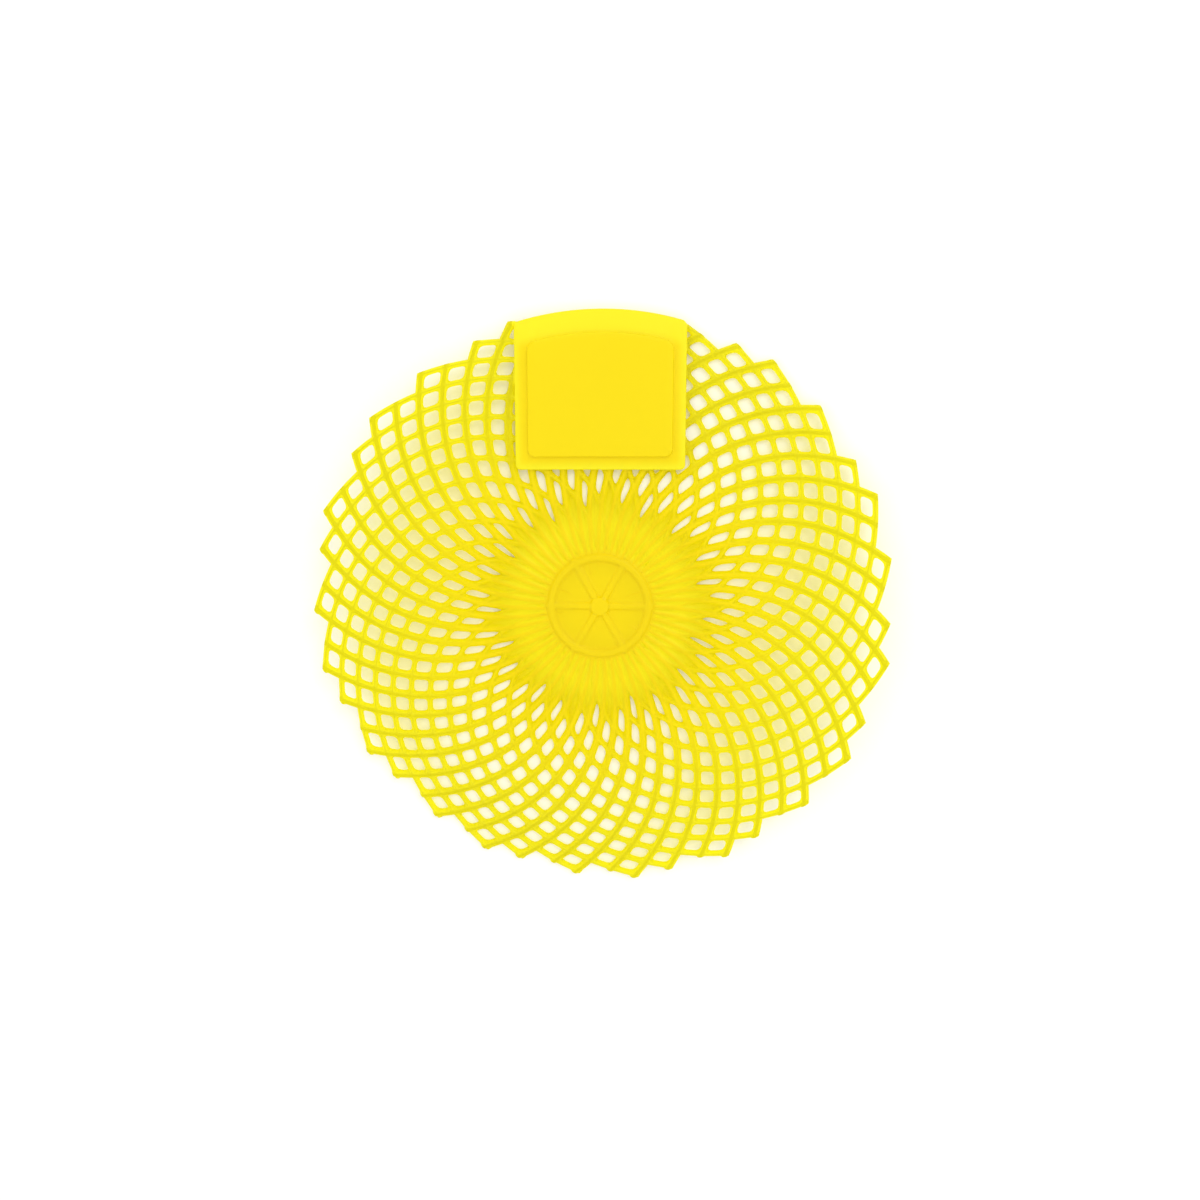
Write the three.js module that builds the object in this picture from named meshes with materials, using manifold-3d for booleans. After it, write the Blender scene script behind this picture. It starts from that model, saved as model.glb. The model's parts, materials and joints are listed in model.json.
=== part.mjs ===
// Urinal deodorizer screen: one flexible moulding in scented yellow plastic.
// Two families of spiral ribs cross in a sunflower lattice between a round hub and a saw-toothed rim.
// A rectangular tab takes up a part of the rim, and the whole sheet has taken a gentle curl.
// Millimetres, +Z up. The hub's underside lies on z = 0, the tab points along +Y, and the middle
// of the footprint's box is at the origin.
import * as THREE from 'three';
import { mergeVertices } from 'three/addons/utils/BufferGeometryUtils.js';
import { TessellateModifier } from 'three/addons/modifiers/TessellateModifier.js';
import Module from 'manifold-3d';

// Lattice: the blade ribs run more nearly straight out, and the hoop ribs lie more nearly along the rim.
// A sweep is the angle that a rib turns through between the centre and the rim.
const meshThickness = 2.4;
const rimRadius = 91.57;
const bladeRibs = 55;
const bladeSweep = 31.48;
const bladeWidth = 2.0;
const hoopRibs = 34;
const hoopSweep = 93.555;
const hoopWidth = 1.3;
const latticeTurn = 99.42;
const narrowestOpening = 1.6;

// Hub: a raised ring with spokes and a boss, in the solid middle of the lattice
const hubRadius = 16.8;
const hubRingWidth = 2.6;
const hubHeight = 3.6;
const hubSpokes = 6;
const spokeWidth = 1.8;
const spokeHeight = 3.0;
const bossRadius = 3.2;
const hubEdge = 0.5;

// Tab: a plate whose outer end follows the rim, and a raised pad on it
const tabWidth = 53;
const tabInner = 43;
const tabArcRadius = 91.3;
const tabThickness = 3.2;
const tabCorner = 1.6;
const tabEdge = 0.5;
const padMargin = 4.0;
const padArcMargin = 7.0;
const padRise = 1.2;
const padCorner = 2.4;
const padSlope = 1.0;

// Curl: a strip through the hub lies flat, and the sheet on both sides of it rises on one radius
const flatStrip = 38;
const curlRadius = 215;
const curlDirection = -17;

// Fineness of the solid: facets of the curl, the ring and the boss, and steps of the solvers
const longestFacet = 31;
const facetSplits = 8;
const ringFacets = 24;
const bossFacets = 16;
const cornerFacets = 3;
const cornerPasses = 40;
const weldDistance = 1e-5;

const degree = Math.PI / 180;
const wasm = await Module();
wasm.setup();

function solid(geometry) {
  const bare = geometry.clone();
  bare.deleteAttribute('normal');
  bare.deleteAttribute('uv');
  const merged = mergeVertices(bare, weldDistance);
  return new wasm.Manifold(new wasm.Mesh({
    numProp: 3,
    vertProperties: new Float32Array(merged.attributes.position.array),
    triVerts: new Uint32Array(merged.index.array),
  }));
}

// A crossing is named by its number in the sunflower, which grows with the square of its radius.
// One step out along a blade rib adds bladeRibs to it, and one step along a hoop rib adds hoopRibs.
const bladeRate = bladeSweep * degree / rimRadius ** 2;
const hoopRate = hoopSweep * degree / rimRadius ** 2;
const squarePerCrossing = 2 * Math.PI / (bladeRibs * hoopRibs * (bladeRate + hoopRate));
const lastCell = rimRadius ** 2 / squarePerCrossing - bladeRibs - hoopRibs;

// Half the width of a rib, measured round the circle of the given radius
function halfAround(width, rate, radius) {
  return width / 2 * Math.hypot(1, 2 * rate * radius ** 2);
}

// The point beside a crossing where one side of its blade rib meets one side of its hoop rib.
// side is 1 towards the next blade rib and -1 the other way, and out is 1 away from the hub.
function corner(blade, crossing, side, out) {
  const square = crossing * squarePerCrossing;
  let radius = Math.sqrt(square) + bladeWidth;
  for (let pass = 0; pass < cornerPasses; pass += 1) {
    const spread = side * halfAround(bladeWidth, bladeRate, radius)
      + out * halfAround(hoopWidth, hoopRate, radius);
    radius = Math.sqrt(Math.max(square + spread / (radius * (bladeRate + hoopRate)), 1));
  }
  const middle = latticeTurn * degree + blade * 2 * Math.PI / bladeRibs - bladeRate * radius ** 2;
  const angle = middle + side * halfAround(bladeWidth, bladeRate, radius) / radius;
  return new THREE.Vector2(radius * Math.cos(angle), radius * Math.sin(angle));
}

// The opening between two blade ribs and two hoop ribs, beyond its innermost crossing
function opening(blade, crossing) {
  return [
    corner(blade, crossing, 1, 1),
    corner(blade, crossing + bladeRibs, 1, -1),
    corner(blade + 1, crossing + bladeRibs + hoopRibs, -1, -1),
    corner(blade + 1, crossing + hoopRibs, -1, 1),
  ];
}

// An opening is a kite, so its greatest width is twice its area over its length
function isOpen(points) {
  const [inner, right, outer, left] = points;
  const pointsOutward = inner.length() < Math.min(right.length(), left.length());
  const width = 2 * Math.abs(THREE.ShapeUtils.area(points)) / inner.distanceTo(outer);
  return pointsOutward && width > narrowestOpening;
}

function isUnderTab(point) {
  return Math.abs(point.x) < tabWidth / 2 && point.y > tabInner && point.length() < tabArcRadius;
}

// The saw-toothed rim: along a hoop rib until the last cell is passed, then back in along a blade rib
function rimOutline() {
  const start = Math.ceil(lastCell / bladeRibs) * bladeRibs;
  const points = [];
  let blade = 0;
  let crossing = start;
  do {
    points.push(corner(blade, crossing, 1, 1));
    if (crossing <= lastCell + bladeRibs) {
      blade += 1;
      crossing += hoopRibs;
    } else {
      crossing -= bladeRibs;
    }
  } while (blade < bladeRibs || crossing !== start);
  return points;
}

function lattice() {
  const shape = new THREE.Shape(rimOutline());
  for (let blade = 0; blade < bladeRibs; blade += 1) {
    const first = (blade * hoopRibs) % bladeRibs;
    for (let crossing = first; crossing <= lastCell; crossing += bladeRibs) {
      const points = opening(blade, crossing);
      if (isOpen(points) && !points.every(isUnderTab)) {
        shape.holes.push(new THREE.Path(points));
      }
    }
  }
  return solid(new THREE.ExtrudeGeometry(shape, { depth: meshThickness, bevelEnabled: false }));
}

// A slab with both faces drawn in by the slope, over a height of the edge
function slab(shape, bottom, top, edge, slope) {
  const geometry = new THREE.ExtrudeGeometry(shape, {
    depth: top - bottom - 2 * edge,
    bevelThickness: edge,
    bevelSize: slope,
    bevelOffset: -slope,
    bevelSegments: 1,
    curveSegments: cornerFacets,
  });
  geometry.translate(0, 0, bottom + edge);
  return solid(geometry);
}

// A rectangle round the tab's middle line, with round corners and an outer end on a circle about the hub
function tabOutline(margin, arcMargin, cornerRadius) {
  const half = tabWidth / 2 - margin;
  const inner = tabInner + margin;
  const arc = tabArcRadius - arcMargin;
  const turn = Math.asin((half - cornerRadius) / arc);
  const shoulder = Math.sqrt(arc ** 2 - half ** 2) - cornerRadius;
  const shape = new THREE.Shape();
  shape.moveTo(cornerRadius - half, inner);
  shape.lineTo(half - cornerRadius, inner);
  shape.quadraticCurveTo(half, inner, half, inner + cornerRadius);
  shape.lineTo(half, shoulder);
  shape.quadraticCurveTo(half, shoulder + cornerRadius, arc * Math.sin(turn), arc * Math.cos(turn));
  shape.absarc(0, 0, arc, Math.PI / 2 - turn, Math.PI / 2 + turn, false);
  shape.quadraticCurveTo(-half, shoulder + cornerRadius, -half, shoulder);
  shape.lineTo(-half, inner + cornerRadius);
  shape.quadraticCurveTo(-half, inner, cornerRadius - half, inner);
  return shape;
}

function tab() {
  const plate = slab(tabOutline(0, 0, tabCorner), 0, tabThickness, tabEdge, tabEdge);
  const padShape = tabOutline(padMargin, padArcMargin, padCorner);
  const pad = slab(padShape, tabThickness - 2 * padRise, tabThickness + padRise, padRise, padSlope);
  return plate.add(pad);
}

// The teeth that the tab's outer end takes the place of
function replacedTeeth() {
  const width = tabWidth - 2 * tabCorner;
  const low = Math.sqrt(tabArcRadius ** 2 - (tabWidth / 2) ** 2) - tabCorner;
  const depth = rimRadius + bladeWidth + hoopWidth - low;
  const block = new THREE.BoxGeometry(width, depth, 2 * meshThickness);
  block.translate(0, low + depth / 2, meshThickness / 2);
  return solid(block);
}

function hubRing() {
  const inner = hubRadius - hubRingWidth;
  const foot = meshThickness / 2;
  const profile = [
    new THREE.Vector2(inner, foot),
    new THREE.Vector2(hubRadius, foot),
    new THREE.Vector2(hubRadius, hubHeight - hubEdge),
    new THREE.Vector2(hubRadius - hubEdge, hubHeight),
    new THREE.Vector2(inner + hubEdge, hubHeight),
    new THREE.Vector2(inner, hubHeight - hubEdge),
    new THREE.Vector2(inner, foot),
  ];
  const ring = new THREE.LatheGeometry(profile, ringFacets);
  ring.rotateX(Math.PI / 2);
  return solid(ring);
}

function hubSpoke(index) {
  const length = hubRadius - hubRingWidth / 2;
  const foot = meshThickness / 2;
  const spoke = new THREE.BoxGeometry(length, spokeWidth, spokeHeight - foot);
  spoke.translate(length / 2, 0, (spokeHeight + foot) / 2);
  spoke.rotateZ(index * 2 * Math.PI / hubSpokes);
  return solid(spoke);
}

function hubBoss() {
  const foot = meshThickness / 2;
  const height = hubHeight - foot;
  const boss = new THREE.CylinderGeometry(bossRadius - hubEdge, bossRadius, height, bossFacets);
  boss.rotateX(Math.PI / 2);
  boss.translate(0, 0, (hubHeight + foot) / 2);
  return solid(boss);
}

function flatScreen() {
  let screen = lattice().subtract(replacedTeeth()).add(tab()).add(hubRing()).add(hubBoss());
  for (let index = 0; index < hubSpokes; index += 1) {
    screen = screen.add(hubSpoke(index));
  }
  const mesh = screen.getMesh();
  const geometry = new THREE.BufferGeometry();
  geometry.setAttribute('position', new THREE.BufferAttribute(new Float32Array(mesh.vertProperties), 3));
  geometry.setIndex(new THREE.BufferAttribute(new Uint32Array(mesh.triVerts), 1));
  return geometry;
}

function curl(geometry) {
  const along = new THREE.Vector2(Math.cos(curlDirection * degree), Math.sin(curlDirection * degree));
  const { position } = geometry.attributes;
  for (let index = 0; index < position.count; index += 1) {
    const x = position.getX(index);
    const y = position.getY(index);
    const z = position.getZ(index);
    const reach = x * along.x + y * along.y;
    const rise = Math.max(Math.abs(reach) - flatStrip / 2, 0) / curlRadius;
    const moved = Math.abs(reach) - rise * curlRadius + (curlRadius - z) * Math.sin(rise);
    const shift = Math.sign(reach) * moved - reach;
    const height = z + (curlRadius - z) * (1 - Math.cos(rise));
    position.setXYZ(index, x + shift * along.x, y + shift * along.y, height);
  }
}

function curledScreen() {
  const facets = new TessellateModifier(longestFacet, facetSplits).modify(flatScreen());
  curl(facets);
  facets.computeBoundingBox();
  const box = facets.boundingBox;
  facets.translate(-(box.min.x + box.max.x) / 2, -(box.min.y + box.max.y) / 2, -box.min.z);
  facets.computeVertexNormals();
  return facets;
}

const yellow = new THREE.MeshStandardMaterial({
  name: 'scented_plastic',
  color: 0xfde20c,
  roughness: 0.45,
  metalness: 0,
});
const screen = new THREE.Mesh(curledScreen(), yellow);
screen.name = 'screen';

const part = new THREE.Group();
part.add(screen);
export default part;
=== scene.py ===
import json
import math

import bpy
import numpy as np
from mathutils import Matrix, Vector

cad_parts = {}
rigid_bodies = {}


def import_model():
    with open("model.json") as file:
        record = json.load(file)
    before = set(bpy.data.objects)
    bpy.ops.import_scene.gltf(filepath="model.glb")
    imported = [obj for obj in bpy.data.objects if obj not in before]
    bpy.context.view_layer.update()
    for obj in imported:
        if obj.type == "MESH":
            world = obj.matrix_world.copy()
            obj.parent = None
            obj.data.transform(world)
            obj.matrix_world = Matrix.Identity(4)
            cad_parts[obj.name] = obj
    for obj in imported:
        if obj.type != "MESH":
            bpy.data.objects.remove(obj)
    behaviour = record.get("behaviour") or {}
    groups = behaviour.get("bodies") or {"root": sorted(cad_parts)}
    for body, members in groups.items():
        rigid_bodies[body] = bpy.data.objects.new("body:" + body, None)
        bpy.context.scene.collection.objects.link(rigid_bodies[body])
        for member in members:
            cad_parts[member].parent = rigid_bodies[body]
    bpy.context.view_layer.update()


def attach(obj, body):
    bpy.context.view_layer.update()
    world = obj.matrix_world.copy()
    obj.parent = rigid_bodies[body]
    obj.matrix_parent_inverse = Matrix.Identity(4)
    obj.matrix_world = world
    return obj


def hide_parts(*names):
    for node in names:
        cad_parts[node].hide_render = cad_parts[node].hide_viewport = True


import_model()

MM = 0.001
HUB_OFFSET = (0.598, 0.078)

# Lattice of ribs, in millimetres about the hub
RIM_RADIUS = 91.57
BLADE_RIBS = 55
BLADE_RATE = math.radians(31.48) / RIM_RADIUS ** 2
BLADE_HALF = 1.2
HOOP_RIBS = 34
HOOP_RATE = math.radians(93.555) / RIM_RADIUS ** 2
HOOP_HALF = 0.85
LATTICE_TURN = math.radians(99.42)
SQUARE_PER_CROSSING = 2 * math.pi / (BLADE_RIBS * HOOP_RIBS * (BLADE_RATE + HOOP_RATE))
LAST_CELL = RIM_RADIUS ** 2 / SQUARE_PER_CROSSING - BLADE_RIBS - HOOP_RIBS
NARROWEST_OPENING = 2.2
# near the hub, half a rib takes at most this share of the pitch, and a corner of the opening
RIB_SHARE = 0.43
CORNER_SHARE = 0.3
CORNER_ROUNDING = 0.29
BLADE_CREST = 2.4
HOOP_CREST = 2.25
SHOULDER_DROP = 0.18
FLANK_DROP = 1.3
CELL_CORNER = 1.0
WEB_TOP = 1.75
WEB_EDGE_TOP = 0.8
WEB_RADIUS = 46
UNDERSIDE = 0.06
DRAW_DEPTH = 5.0
MERGE_DISTANCE = 0.00002

# Hub
HUB_RINGS = 52
HUB_SECTORS = 144
HUB_LAP = 1.3
HUB_SKIRT = 20.5
HUB_RING_OUTER = 16.8
HUB_RING_INNER = 14.2
HUB_RING_TOP = 3.2
HUB_FLOOR = 2.3
SPOKE_HALF = 0.9
SPOKE_TOP = 3.0
BOSS_RADIUS = 3.2
BOSS_TOP = 3.5

# Tab
TAB_LAP = 1.2
TAB_RIM_CUT = 9
TAB_HALF = 26.5
TAB_INNER = 43.0
TAB_ARC = 91.3
TAB_TOP = 3.2
TAB_CORNER = 1.6
PAD_MARGIN = 4.0
PAD_ARC_MARGIN = 7.0
PAD_RISE = 1.2
PAD_CORNER = 2.4

# Curl
FLAT_HALF = 19.0
CURL_RADIUS = 215.0
CURL_DIRECTION = math.radians(-17)

# Colours of the plastic, from thin and pale to thick and golden: all but the light through it are
# painted light and shade, standing in for how much light passes through thin and thick plastic
PAINTED_CREST_SHADE_BY_HUB = (1.0, 0.76, 0.001, 1)
PAINTED_CREST_SHADE_BY_RIM = (0.62, 0.56, 0.001, 1)
PAINTED_FLANK_LIGHT_BY_HUB = (1.0, 0.87, 0.002, 1)
PAINTED_FLANK_LIGHT_BY_RIM = (1.0, 0.99, 0.05, 1)
PAINTED_HUB_RELIEF_SHADE = (1.0, 0.76, 0.002, 1)
PAINTED_TAB_EDGE_LIGHT = (1.0, 0.91, 0.016, 1)
PAINTED_TAB_FACE_SHADE = (1.0, 0.79, 0.003, 1)
LIGHT_THROUGH = (1.0, 0.95, 0.004, 1)

# Camera, in millimetres about the hub, with its right and back directions
CAMERA_PLACE = (24.0, 48.4, 296.3)
CAMERA_RIGHT = (0.9967, 0, -0.0812)
CAMERA_BACK = (0.0801, 0.1613, 0.9836)


def deselect():
    bpy.ops.object.select_all(action="DESELECT")


def work_on(piece):
    deselect()
    piece.select_set(True)
    bpy.context.view_layer.objects.active = piece


def points(piece):
    values = np.zeros(len(piece.data.vertices) * 3)
    piece.data.vertices.foreach_get("co", values)
    return values.reshape(-1, 3)


def move_points(piece, places):
    piece.data.vertices.foreach_set("co", np.asarray(places, float).ravel())
    piece.data.update()


def select_faces(piece, chosen):
    bpy.ops.object.mode_set(mode="EDIT")
    bpy.ops.mesh.select_mode(type="FACE")
    bpy.ops.mesh.select_all(action="DESELECT")
    bpy.ops.object.mode_set(mode="OBJECT")
    piece.data.polygons.foreach_set("select", np.asarray(chosen, bool))
    bpy.ops.object.mode_set(mode="EDIT")


def select_edges(piece, test):
    bpy.ops.object.mode_set(mode="EDIT")
    bpy.ops.mesh.select_mode(type="EDGE")
    bpy.ops.mesh.select_all(action="DESELECT")
    bpy.ops.object.mode_set(mode="OBJECT")
    mesh = piece.data
    for edge in mesh.edges:
        a, b = (mesh.vertices[corner].co for corner in edge.vertices)
        edge.select = test(a, b)
    bpy.ops.object.mode_set(mode="EDIT")


def grid(name, columns, rows):
    """A flat grid of columns by rows faces, with the column and the row of each vertex."""
    deselect()
    bpy.ops.mesh.primitive_grid_add(x_subdivisions=columns, y_subdivisions=rows, size=2)
    piece = bpy.context.object
    piece.name = name
    piece.data.name = name
    place = points(piece)
    column = np.rint((place[:, 0] + 1) / 2 * columns).astype(int)
    row = np.rint((place[:, 1] + 1) / 2 * rows).astype(int)
    return piece, column, row


def thicken(piece, underside):
    """Draws the sheet down and lays its underside flat."""
    work_on(piece)
    bpy.ops.object.mode_set(mode="EDIT")
    bpy.ops.mesh.select_all(action="SELECT")
    bpy.ops.mesh.extrude_region_move(TRANSFORM_OT_translate={"value": (0, 0, -DRAW_DEPTH * MM)})
    bpy.ops.transform.resize(value=(1, 1, 0), center_override=(0, 0, underside))
    bpy.ops.mesh.select_all(action="SELECT")
    bpy.ops.mesh.normals_make_consistent(inside=False)
    bpy.ops.object.mode_set(mode="OBJECT")


def keep_linked(piece, x, y):
    """Deletes the scraps that aren't joined to the sheet at x, y."""
    place = points(piece) / MM
    nearest = int(np.argmin(np.hypot(place[:, 0] - x, place[:, 1] - y)))
    work_on(piece)
    bpy.ops.object.mode_set(mode="EDIT")
    bpy.ops.mesh.select_mode(type="VERT")
    bpy.ops.mesh.select_all(action="DESELECT")
    bpy.ops.object.mode_set(mode="OBJECT")
    piece.data.vertices[nearest].select = True
    bpy.ops.object.mode_set(mode="EDIT")
    bpy.ops.mesh.select_linked()
    bpy.ops.mesh.select_all(action="INVERT")
    bpy.ops.mesh.delete(type="VERT")
    bpy.ops.object.mode_set(mode="OBJECT")


def across(distance, rate, radius):
    """The angle about the hub that a distance square to a rib takes up at a radius."""
    return distance * np.hypot(1, 2 * rate * radius ** 2) / radius


def pitch(ribs, rate, radius):
    """The distance between neighbouring ribs, square to them."""
    return 2 * np.pi * radius / ribs / np.hypot(1, 2 * rate * radius ** 2)


# Each rib has eight lines: start of the cell's corner, side, shoulder, crest, shoulder, side,
# end of the corner, and the middle of the gap to the next rib.
LINES = 8
SIDE_OF_LINE = np.array([-1, -1, -0.45, 0, 0.45, 1, 1, 0])
DROP_OF_LINE = np.array([2, 2, 1, 0, 1, 2, 2, 2])
CORNER_OF_LINE = np.array([-1, 0, 0, 0, 0, 0, 1, 0])
GAP_LINE = 7


def line_angle(line, half, ribs, rate, radius):
    """How far a line lies from its own rib, as an angle about the hub."""
    room = pitch(ribs, rate, radius)
    rib = np.minimum(half, RIB_SHARE * room)
    corner = np.minimum(CELL_CORNER, CORNER_SHARE * (room - 2 * rib))
    distance = SIDE_OF_LINE[line] * rib + CORNER_OF_LINE[line] * corner
    angle = across(distance, rate, radius)
    return np.where(line == GAP_LINE, np.pi / ribs, angle)


def crest(line, top):
    return top - np.array([0, SHOULDER_DROP, FLANK_DROP])[DROP_OF_LINE[line]]


def soft_step(value, start, end):
    share = np.clip((value - start) / (end - start), 0, 1)
    return share * share * (3 - 2 * share)


def lattice_place(blade, blade_line, hoop, hoop_line):
    """Where a line of a blade rib meets a line of a hoop rib: x and y."""
    square = np.maximum(HOOP_RIBS * blade + BLADE_RIBS * hoop, 1) * SQUARE_PER_CROSSING
    radius = np.sqrt(square)
    for _ in range(60):
        spread = (line_angle(blade_line, BLADE_HALF, BLADE_RIBS, BLADE_RATE, radius)
                  + line_angle(hoop_line, HOOP_HALF, HOOP_RIBS, HOOP_RATE, radius))
        nearer = np.sqrt(np.maximum(square + spread / (BLADE_RATE + HOOP_RATE), 4))
        radius = 0.5 * radius + 0.5 * nearer
    angle = (LATTICE_TURN + blade * 2 * np.pi / BLADE_RIBS - BLADE_RATE * radius ** 2
             + line_angle(blade_line, BLADE_HALF, BLADE_RIBS, BLADE_RATE, radius))
    return np.stack([radius * np.cos(angle), radius * np.sin(angle)], -1)


def cell_width(blade, hoop):
    """The greatest width of the kite between two blade ribs and two hoop ribs."""
    after, before = np.full(blade.shape, 5), np.full(blade.shape, 1)
    inner = lattice_place(blade, after, hoop, after)
    right = lattice_place(blade, after, hoop + 1, before)
    outer = lattice_place(blade + 1, before, hoop + 1, before)
    left = lattice_place(blade + 1, before, hoop, after)
    long, wide = outer - inner, left - right
    return np.abs(long[:, 0] * wide[:, 1] - long[:, 1] * wide[:, 0]) / np.hypot(*long.T)


def make_lattice():
    """The crossing ribs: a grid of lines laid on the lattice, with the cells' faces taken out."""
    deepest = -HOOP_RIBS
    farthest = int(LAST_CELL / BLADE_RIBS) + 4
    columns = LINES * BLADE_RIBS
    rows = LINES * (farthest - deepest)
    piece, column, row = grid("lattice", columns, rows)
    blade, blade_line = column // LINES, column % LINES
    hoop, hoop_line = row // LINES + deepest, row % LINES
    flat = lattice_place(blade, blade_line, hoop, hoop_line)
    # each corner of a cell is drawn into the cell, to round it
    line_inside = np.array([0, 0, 0, 0, 0, 6, 0, 0])
    inside = lattice_place(blade, line_inside[blade_line], hoop, line_inside[hoop_line])
    cell_number = (HOOP_RIBS * (blade - (blade_line == 1))
                   + BLADE_RIBS * (hoop - (hoop_line == 1)))
    rounded = np.isin(blade_line, (1, 5)) & np.isin(hoop_line, (1, 5))
    rounded &= cell_number <= LAST_CELL
    flat[rounded] += CORNER_ROUNDING * (inside - flat)[rounded]
    on_blade = np.isin(blade_line, (1, 2, 3, 4, 5))
    on_hoop = np.isin(hoop_line, (1, 2, 3, 4, 5))
    height = np.maximum(np.where(on_blade, crest(blade_line, BLADE_CREST), 0),
                        np.where(on_hoop, crest(hoop_line, HOOP_CREST), 0))
    # the narrow slits round the hub are filled by a web
    reach = np.hypot(flat[:, 0], flat[:, 1])
    web = WEB_TOP - (WEB_TOP - WEB_EDGE_TOP) * soft_step(reach, HUB_SKIRT, WEB_RADIUS)
    height = np.maximum(height, web)
    move_points(piece, np.column_stack([flat, height]) * MM)

    mesh = piece.data
    corners = np.zeros(len(mesh.polygons) * 4, int)
    mesh.polygons.foreach_get("vertices", corners)
    corners = corners.reshape(-1, 4)
    face_column = column[corners].min(1)
    face_row = row[corners].min(1)
    face_blade, blade_part = face_column // LINES, face_column % LINES
    face_hoop, hoop_part = face_row // LINES + deepest, face_row % LINES
    # parts 1 to 4 lie on the rib itself, and the others in the gap before or after it
    beside_blade = (blade_part < 1) | (blade_part > 4)
    beside_hoop = (hoop_part < 1) | (hoop_part > 4)
    cell_blade = face_blade - (blade_part < 1)
    cell_hoop = face_hoop - (hoop_part < 1)
    hole = beside_blade & beside_hoop
    hole &= cell_width(cell_blade, cell_hoop) > NARROWEST_OPENING
    innermost = (HOOP_RIBS * np.where(beside_blade, cell_blade, face_blade - 1)
                 + BLADE_RIBS * np.where(beside_hoop, cell_hoop, face_hoop - 1))
    centre = flat[corners].mean(1)
    reach = np.hypot(centre[:, 0], centre[:, 1])
    aside = np.abs(centre[:, 0])
    under_tab = (aside < TAB_HALF - TAB_LAP) & (centre[:, 1] > TAB_INNER + TAB_LAP)
    under_tab &= reach < TAB_ARC - TAB_LAP
    past_tab = (aside < TAB_HALF - TAB_CORNER) & (centre[:, 1] > TAB_ARC - TAB_RIM_CUT)
    under_hub = reach < HUB_RING_INNER + HUB_LAP
    work_on(piece)
    select_faces(piece, hole | (innermost > LAST_CELL) | under_hub | under_tab | past_tab)
    bpy.ops.mesh.delete(type="FACE")
    bpy.ops.mesh.select_all(action="SELECT")
    bpy.ops.mesh.remove_doubles(threshold=MERGE_DISTANCE)
    bpy.ops.object.mode_set(mode="OBJECT")
    keep_linked(piece, 0, -60)
    thicken(piece, UNDERSIDE * MM)
    return piece


def make_hub():
    """The solid middle: floor, ring, six spokes, boss and a skirt that runs out into the web."""
    piece, column, row = grid("hub", HUB_SECTORS, HUB_RINGS)
    angle = column * 2 * np.pi / HUB_SECTORS
    radius = np.maximum(row, 0.02) / HUB_RINGS * HUB_SKIRT
    x, y = radius * np.cos(angle), radius * np.sin(angle)
    height = np.full(len(angle), HUB_FLOOR)
    for index in range(3):
        turn = index * np.pi / 3
        aside = np.abs(-x * np.sin(turn) + y * np.cos(turn))
        spoke = 1 - soft_step(aside, SPOKE_HALF - 0.25, SPOKE_HALF + 0.45)
        height = np.maximum(height, HUB_FLOOR + (SPOKE_TOP - HUB_FLOOR) * spoke)
    boss = 1 - soft_step(radius, BOSS_RADIUS - 0.5, BOSS_RADIUS + 0.2)
    height = np.maximum(height, HUB_FLOOR + (BOSS_TOP - HUB_FLOOR) * boss)
    ring = (soft_step(radius, HUB_RING_INNER - 0.2, HUB_RING_INNER + 0.6)
            * (1 - soft_step(radius, HUB_RING_OUTER - 0.6, HUB_RING_OUTER + 0.2)))
    height = np.maximum(height, HUB_FLOOR + (HUB_RING_TOP - HUB_FLOOR) * ring)
    skirt = soft_step(radius, HUB_RING_OUTER, HUB_SKIRT)
    skirt_height = HUB_FLOOR - (HUB_FLOOR - WEB_TOP + 0.1) * skirt
    height = np.where(radius > HUB_RING_OUTER + 0.2, skirt_height, height)
    move_points(piece, np.stack([x, y, height], 1) * MM)
    work_on(piece)
    bpy.ops.object.mode_set(mode="EDIT")
    bpy.ops.mesh.select_all(action="SELECT")
    bpy.ops.mesh.remove_doubles(threshold=0.00001)
    bpy.ops.object.mode_set(mode="OBJECT")
    thicken(piece, 0)
    return piece


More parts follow.
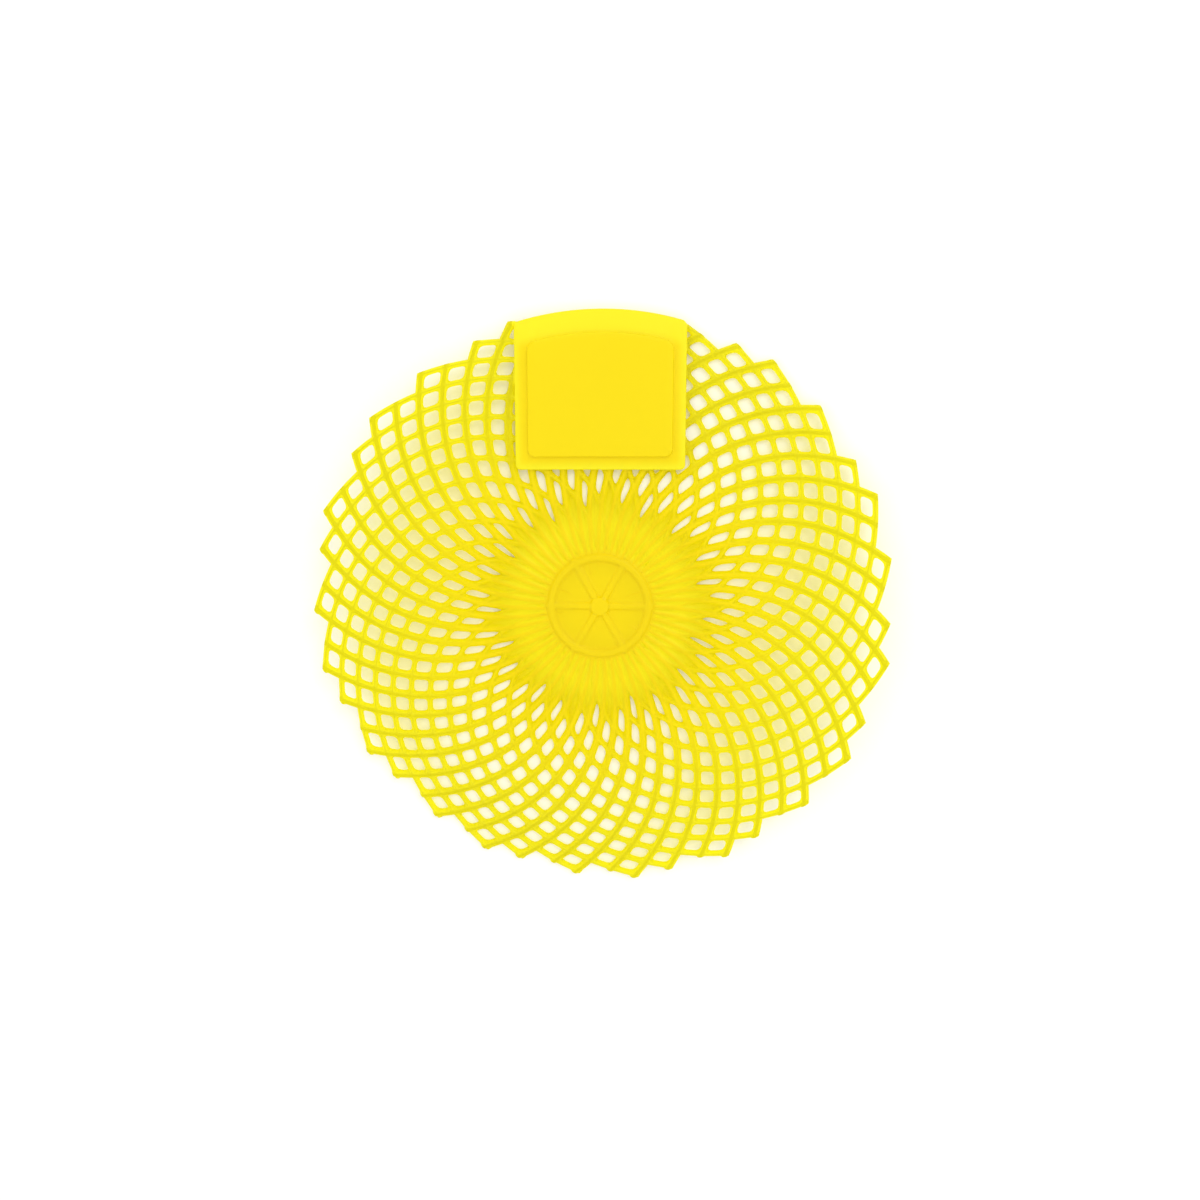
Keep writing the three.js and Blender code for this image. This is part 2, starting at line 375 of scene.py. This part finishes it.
def make_tab():
    """The plate on the rim, with its outer end on the rim's arc and a raised pad."""
    inner_columns, inner_rows = 20, 16
    piece, column, row = grid("tab", inner_columns + 2, inner_rows + 2)
    pad_half = TAB_HALF - PAD_MARGIN
    x = np.where(column == 0, -TAB_HALF, np.where(
        column == inner_columns + 2, TAB_HALF,
        -pad_half + (column - 1) / inner_columns * 2 * pad_half))
    edge = np.sqrt(TAB_ARC ** 2 - x ** 2)
    low = TAB_INNER + PAD_MARGIN
    high = np.sqrt((TAB_ARC - PAD_ARC_MARGIN) ** 2 - x ** 2)
    y = np.where(row == 0, TAB_INNER, np.where(
        row == inner_rows + 2, edge, low + (row - 1) / inner_rows * (high - low)))
    move_points(piece, np.stack([x, y, np.full(len(x), TAB_TOP)], 1) * MM)
    thicken(piece, 0)

    centres = np.array([face.center for face in piece.data.polygons]) / MM
    normals = np.array([face.normal for face in piece.data.polygons])
    work_on(piece)
    on_pad = (normals[:, 2] > 0.9) & (np.abs(centres[:, 0]) < pad_half) & (centres[:, 1] > low)
    on_pad &= np.hypot(centres[:, 0], centres[:, 1]) < TAB_ARC - PAD_ARC_MARGIN
    select_faces(piece, on_pad)
    bpy.ops.mesh.extrude_region_move(TRANSFORM_OT_translate={"value": (0, 0, PAD_RISE * MM)})
    bpy.ops.object.mode_set(mode="OBJECT")

    def upright(a, b):
        return abs(a.x - b.x) + abs(a.y - b.y) < 1e-6 and abs(a.z - b.z) > 1e-4

    def plate_corner(a, b):
        return upright(a, b) and abs(abs(a.x) - TAB_HALF * MM) < 1e-5 and (
            abs(a.y - TAB_INNER * MM) < 1e-5 or a.y > 80 * MM)

    def pad_corner(a, b):
        return upright(a, b) and abs(abs(a.x) - pad_half * MM) < 1e-5 and (
            abs(a.y - low * MM) < 1e-5 or a.y > 80 * MM) and max(a.z, b.z) > (TAB_TOP + 0.5) * MM

    work_on(piece)
    select_edges(piece, plate_corner)
    bpy.ops.mesh.bevel(offset=TAB_CORNER * MM, segments=5, affect="EDGES")
    bpy.ops.object.mode_set(mode="OBJECT")
    select_edges(piece, pad_corner)
    bpy.ops.mesh.bevel(offset=PAD_CORNER * MM, segments=5, affect="EDGES")
    bpy.ops.object.mode_set(mode="OBJECT")

    bevel = piece.modifiers.new("edges", "BEVEL")
    bevel.width = 0.45 * MM
    bevel.segments = 3
    bevel.limit_method = "ANGLE"
    bevel.angle_limit = math.radians(50)
    bpy.ops.object.modifier_apply(modifier="edges")
    return piece


def curl(piece):
    """Lays the flat moulding on its curl and moves it from the hub's centre to the frame's origin."""
    place = points(piece) / MM
    along = np.array([math.cos(CURL_DIRECTION), math.sin(CURL_DIRECTION)])
    reach = place[:, :2] @ along
    rise = np.maximum(np.abs(reach) - FLAT_HALF, 0) / CURL_RADIUS
    depth = CURL_RADIUS - place[:, 2]
    moved = np.abs(reach) - rise * CURL_RADIUS + depth * np.sin(rise)
    shift = np.sign(reach) * moved - reach
    flat = place[:, :2] + shift[:, None] * along + np.array(HUB_OFFSET)
    height = place[:, 2] + depth * (1 - np.cos(rise))
    move_points(piece, np.column_stack([flat, height]) * MM)


def make_screen():
    """Joins lattice, hub and tab to the one moulding and curls it."""
    parts = [make_lattice(), make_hub(), make_tab()]
    deselect()
    for part in parts:
        part.select_set(True)
    bpy.context.view_layer.objects.active = parts[0]
    bpy.ops.object.join()
    piece = bpy.context.object
    piece.name = "screen_moulding"
    piece.data.name = "screen_moulding"
    curl(piece)
    work_on(piece)
    bpy.ops.object.shade_smooth_by_angle(angle=math.radians(52))
    return piece


class Value:
    """A number or a socket of a material's nodes, with arithmetic that adds Math nodes."""

    def __init__(self, paint, socket):
        self.paint = paint
        self.socket = socket

    def math(self, operation, *others):
        inputs = {0: self}
        inputs.update({index + 1: other for index, other in enumerate(others)})
        return self.paint.node("ShaderNodeMath", {"operation": operation}, inputs)

    def __add__(self, other):
        return self.math("ADD", other)

    __radd__ = __add__

    def __mul__(self, other):
        return self.math("MULTIPLY", other)

    __rmul__ = __mul__

    def __sub__(self, other):
        return self.math("SUBTRACT", other)

    def __rsub__(self, other):
        return self.paint.node("ShaderNodeMath", {"operation": "SUBTRACT"}, {0: other, 1: self})


class Paint:
    """A material whose nodes are added one call at a time."""

    def __init__(self, name):
        self.material = bpy.data.materials.new(name)
        self.material.use_nodes = True
        self.tree = self.material.node_tree
        self.tree.nodes.clear()

    def node(self, kind, settings=None, inputs=None, output=0):
        made = self.tree.nodes.new(kind)
        for name, value in (settings or {}).items():
            if name == "stops":
                ramp = made.color_ramp
                for index, (at, colour) in enumerate(value):
                    stop = ramp.elements[index] if index < 2 else ramp.elements.new(at)
                    stop.position = at
                    stop.color = colour
            else:
                setattr(made, name, value)
        for name, value in (inputs or {}).items():
            if isinstance(value, Value):
                self.tree.links.new(value.socket, made.inputs[name])
            else:
                made.inputs[name].default_value = value
        return Value(self, made.outputs[output]) if made.outputs else None


def make_plastic():
    """Translucent yellow plastic with painted shade: darker along the crests and golden where it is
    thick, standing in for the light that passes through it.
    """
    paint = Paint("scented_plastic")
    here = paint.node("ShaderNodeTexCoord", output="Object")
    cloud = paint.node("ShaderNodeTexNoise", inputs={"Vector": here, "Scale": 45.0, "Detail": 3.0})
    grain = paint.node("ShaderNodeTexNoise", inputs={"Vector": here, "Scale": 900.0, "Detail": 2.0})
    x = paint.node("ShaderNodeSeparateXYZ", inputs={"Vector": here}, output="X") * 1000
    y = paint.node("ShaderNodeSeparateXYZ", inputs={"Vector": here}, output="Y") * 1000
    z = paint.node("ShaderNodeSeparateXYZ", inputs={"Vector": here}, output="Z") * 1000
    x = x - HUB_OFFSET[0]
    y = y - HUB_OFFSET[1]
    reach = (x * x + y * y).math("SQRT")
    # height over the curled underside
    along = (x * math.cos(CURL_DIRECTION) + y * math.sin(CURL_DIRECTION)).math("ABSOLUTE")
    past = (along - FLAT_HALF).math("MAXIMUM", 0)
    height = z - (CURL_RADIUS - (CURL_RADIUS ** 2 - past * past).math("SQRT"))

    def between(value, start, end):
        return paint.node("ShaderNodeMapRange", {"interpolation_type": "SMOOTHSTEP"}, {
            "Value": value, "From Min": start, "From Max": end})

    def blend(share, one, other):
        return paint.node("ShaderNodeMix", {"data_type": "RGBA"}, {0: share, 6: one, 7: other}, 2)

    cloudy = cloud - 0.5
    outward = between(reach + cloudy * 16, 22, 80)
    # painted light and shade: the crests are painted darker and the flanks paler towards the rim, and
    # both deeper golden by the hub, standing in for light passing through thick and thin plastic
    painted_crest_shade = blend(outward, PAINTED_CREST_SHADE_BY_HUB, PAINTED_CREST_SHADE_BY_RIM)
    painted_flank_light = blend(outward, PAINTED_FLANK_LIGHT_BY_HUB, PAINTED_FLANK_LIGHT_BY_RIM)
    ridge = between(height, 1.95, 2.38)
    rib_painted_shading = blend(ridge, painted_flank_light, painted_crest_shade)
    # painted shade: the raised ring, spokes and boss of the hub are painted deeper golden
    rib_painted_shading = blend(between(height, 2.5, 3.4), rib_painted_shading, PAINTED_HUB_RELIEF_SHADE)
    aside = x.math("ABSOLUTE")
    on_tab = (between(y, TAB_INNER - 0.5, TAB_INNER + 0.2)
              * between(aside, TAB_HALF + 0.3, TAB_HALF - 0.2))
    # painted light and shade: the tab's thick face is painted deep golden and its thinner outer strip
    # and edges paler, standing in for how much light passes through the plastic
    thick = (between(reach + cloudy * 2, TAB_ARC - 5.0, TAB_ARC - 8.5)
             * between(aside, TAB_HALF - 0.4, TAB_HALF - 3.2)
             * between(y, TAB_INNER + 0.4, TAB_INNER + 3.2))
    tab_painted_shading = blend(thick, PAINTED_TAB_EDGE_LIGHT, PAINTED_TAB_FACE_SHADE)
    tone = blend(on_tab, rib_painted_shading, tab_painted_shading)
    roughness = 0.36 + cloud * 0.14
    bump = paint.node("ShaderNodeBump", inputs={
        "Strength": 0.25, "Distance": 0.00012, "Height": grain})
    skin = paint.node("ShaderNodeBsdfPrincipled", inputs={
        "Base Color": tone, "Roughness": roughness, "Normal": bump, "IOR": 1.48,
        "Specular IOR Level": 0.2})
    glow = paint.node("ShaderNodeBsdfTranslucent", inputs={"Color": LIGHT_THROUGH})
    solid = between(reach, 42, 24).math("MAXIMUM", on_tab)
    # thin flanks pass the most light, and thick plastic and crests the least
    share = 0.76 - solid.math("MAXIMUM", ridge * 0.7) * 0.5
    shader = paint.node("ShaderNodeMixShader", inputs={0: share, 1: skin, 2: glow})
    paint.node("ShaderNodeOutputMaterial", inputs={"Surface": shader})
    return paint.material


def make_floor():
    deselect()
    bpy.ops.mesh.primitive_plane_add(size=6, location=(0, 0, -0.0002))
    floor = bpy.context.object
    floor.name = "floor"
    paint = Paint("studio_white")
    camera_ray = paint.node("ShaderNodeLightPath", output="Is Camera Ray")
    pale = paint.node("ShaderNodeBsdfDiffuse", inputs={"Color": (0.9, 0.9, 0.9, 1)})
    lift = paint.node("ShaderNodeEmission", inputs={
        "Color": (1, 1, 1, 1), "Strength": camera_ray * 0.04})
    both = paint.node("ShaderNodeAddShader", inputs={0: pale, 1: lift})
    paint.node("ShaderNodeOutputMaterial", inputs={"Surface": both})
    floor.data.materials.append(paint.material)


def soft_lamp(name, location, size, power):
    bpy.ops.object.light_add(type="AREA", location=location)
    lamp = bpy.context.object
    lamp.name = name
    lamp.data.shape = "DISK"
    lamp.data.size = size
    lamp.data.energy = power
    lamp.rotation_euler = (-Vector(location)).to_track_quat("-Z", "Y").to_euler()


def light_scene():
    world = bpy.data.worlds.new("studio")
    bpy.context.scene.world = world
    world.use_nodes = True
    world.node_tree.nodes["Background"].inputs["Color"].default_value = (1, 1, 1, 1)
    world.node_tree.nodes["Background"].inputs["Strength"].default_value = 1.0
    soft_lamp("key_lamp", (0.5, 0.7, 1.1), 0.7, 4)
    soft_lamp("fill_lamp", (-0.9, -0.2, 0.9), 0.9, 1)


def place_camera():
    bpy.ops.object.camera_add()
    camera = bpy.context.object
    right = Vector(CAMERA_RIGHT)
    back = Vector(CAMERA_BACK).normalized()
    right = (right - right.dot(back) * back).normalized()
    up = back.cross(right)
    turn = Matrix((right, up, back)).transposed()
    place = (Vector(CAMERA_PLACE) + Vector((*HUB_OFFSET, 0))) * MM
    camera.matrix_world = Matrix.Translation(place) @ turn.to_4x4()
    camera.data.sensor_width = 36
    camera.data.lens = 28.125
    camera.data.shift_y = 0.0045
    camera.data.clip_start = 0.01
    bpy.context.scene.camera = camera


place_camera()
screen = make_screen()
screen.data.materials.clear()
screen.data.materials.append(make_plastic())
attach(screen, "root")
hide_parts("screen")
make_floor()
light_scene()
bpy.context.scene.view_settings.view_transform = "Standard"
